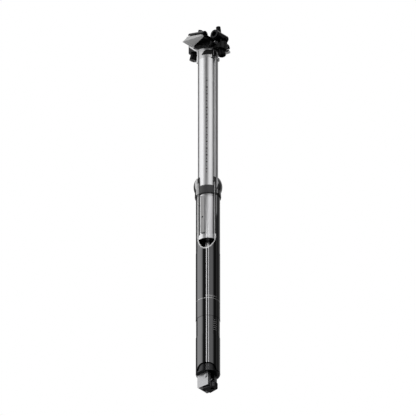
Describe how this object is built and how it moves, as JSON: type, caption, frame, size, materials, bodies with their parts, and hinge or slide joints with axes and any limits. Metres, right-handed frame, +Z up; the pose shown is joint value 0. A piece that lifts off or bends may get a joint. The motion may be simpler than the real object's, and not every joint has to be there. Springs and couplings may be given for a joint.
{
  "type": "dropper seatpost",
  "caption": "Height-adjustable bicycle seatpost: silver inner tube sliding in a black outer tube, two-bolt saddle clamp on top, collar with a cutaway window, cable release lever at the foot.",
  "frame": {"origin": "On the axis of the post, at the minimum insertion line of the outer tube", "axes": "+Z up the post towards the saddle, +X towards the front of the bicycle, +Y to its left"},
  "size_m": [0.0598, 0.058, 0.5364],
  "materials": {
    "black_tube": "gloss black anodised",
    "black_collar": "satin black anodised",
    "silver_tube": "satin hard anodised",
    "clamp_black": "satin black anodised",
    "clamp_grey": "satin grey",
    "steel_black": "black oxide",
    "steel_bright": "ground",
    "seal_rubber": "matte",
    "bush_black": "low-friction plastic",
    "key_metal": "grey coated",
    "silver_block": "satin silver",
    "cartridge_alu": "satin"
  },
  "bodies": {
    "outer": {"outer_tube": "black_tube", "collar": "black_collar", "wiper_seal": "seal_rubber", "upper_bushing": "bush_black", "collar_o_ring": "seal_rubber", "piston_ring": "bush_black", "rod": "steel_bright", "bumper": "seal_rubber", "plug": "black_collar", "yoke": "silver_block", "foot_screw": "steel_black", "pivot_pin": "steel_bright", "pivot_clip": "steel_black", "stop_foot": "black_collar"},
    "inner": {"inner_tube": "silver_tube", "key_a": "key_metal", "key_b": "key_metal", "key_c": "key_metal", "key_dowels": "steel_bright", "guide_bushing": "bush_black", "end_ring": "black_collar", "cartridge_tube": "cartridge_alu", "cartridge_head": "cartridge_alu", "gland": "cartridge_alu"},
    "floater": {"floating_piston": "cartridge_alu", "floating_seal": "seal_rubber"},
    "lever": {"lever": "clamp_black"},
    "anchor": {"anchor_barrel": "steel_bright"},
    "pin": {"push_pin": "steel_bright"},
    "clamp": {"lower_cradle": "clamp_black", "jaw_right": "clamp_black", "jaw_left": "clamp_black"},
    "front_barrel": {"barrel_front": "clamp_black"},
    "rear_barrel": {"barrel_rear": "clamp_black"},
    "front_bolt": {"bolt_front": "steel_black", "washer_front": "steel_black"},
    "rear_bolt": {"bolt_rear": "steel_black", "washer_rear": "steel_black"}
  },
  "joints": [
    {"name": "travel", "type": "slide", "parent": "outer", "child": "inner", "axis": [0, 0, 1], "range_m": [-0.17, 0], "stiffness_N_per_m": 470, "springref_m": 0.53},
    {"name": "floater_slide", "type": "slide", "parent": "inner", "child": "floater", "axis": [0, 0, 1], "range_m": [0, 0.06]},
    {"name": "lever_turn", "type": "hinge", "parent": "outer", "child": "lever", "pos_m": [0.0036, 0, -0.1114], "axis": [0, 1, 0], "range_deg": [0, 22]},
    {"name": "pin_lift", "type": "slide", "parent": "outer", "child": "pin", "axis": [0, 0, 1], "range_m": [0, 0.00138], "stiffness_N_per_m": 2000, "springref_m": -0.012},
    {"name": "anchor_turn", "type": "hinge", "parent": "lever", "child": "anchor", "pos_m": [0.0072, 0, -0.1164], "axis": [0, 1, 0], "range_deg": [-25, 5]},
    {"name": "clamp_tilt", "type": "hinge", "parent": "inner", "child": "clamp", "pos_m": [0.00832, 0, 0.41013], "axis": [0, 1, 0], "range_deg": [-7, 7]},
    {"name": "front_swing", "type": "hinge", "parent": "clamp", "child": "front_barrel", "pos_m": [0.01929, 0, 0.38673], "axis": [0, 1, 0], "range_deg": [-16, 16]},
    {"name": "rear_swing", "type": "hinge", "parent": "clamp", "child": "rear_barrel", "pos_m": [-0.01651, 0, 0.39434], "axis": [0, 1, 0], "range_deg": [-16, 16]},
    {"name": "front_screw", "type": "slide", "parent": "front_barrel", "child": "front_bolt", "axis": [0.1477, 0, -0.989], "range_m": [-0.001, 0.001]},
    {"name": "rear_screw", "type": "slide", "parent": "rear_barrel", "child": "rear_bolt", "axis": [-0.3052, 0, -0.9523], "range_m": [-0.0026, 0.0026]}
  ],
  "couplings": [
    {"joint": "floater_slide", "follows": "travel", "ratio": -0.346},
    {"joint": "lever_turn", "follows": "pin_lift", "rad_per_m": 277.78},
    {"joint": "anchor_turn", "follows": "pin_lift", "rad_per_m": -277.78},
    {"joint": "front_swing", "follows": "clamp_tilt", "ratio": -2.1713},
    {"joint": "rear_swing", "follows": "clamp_tilt", "ratio": -2.1359},
    {"joint": "front_screw", "follows": "clamp_tilt", "m_per_rad": -0.0074},
    {"joint": "rear_screw", "follows": "clamp_tilt", "m_per_rad": 0.018823}
  ]
}
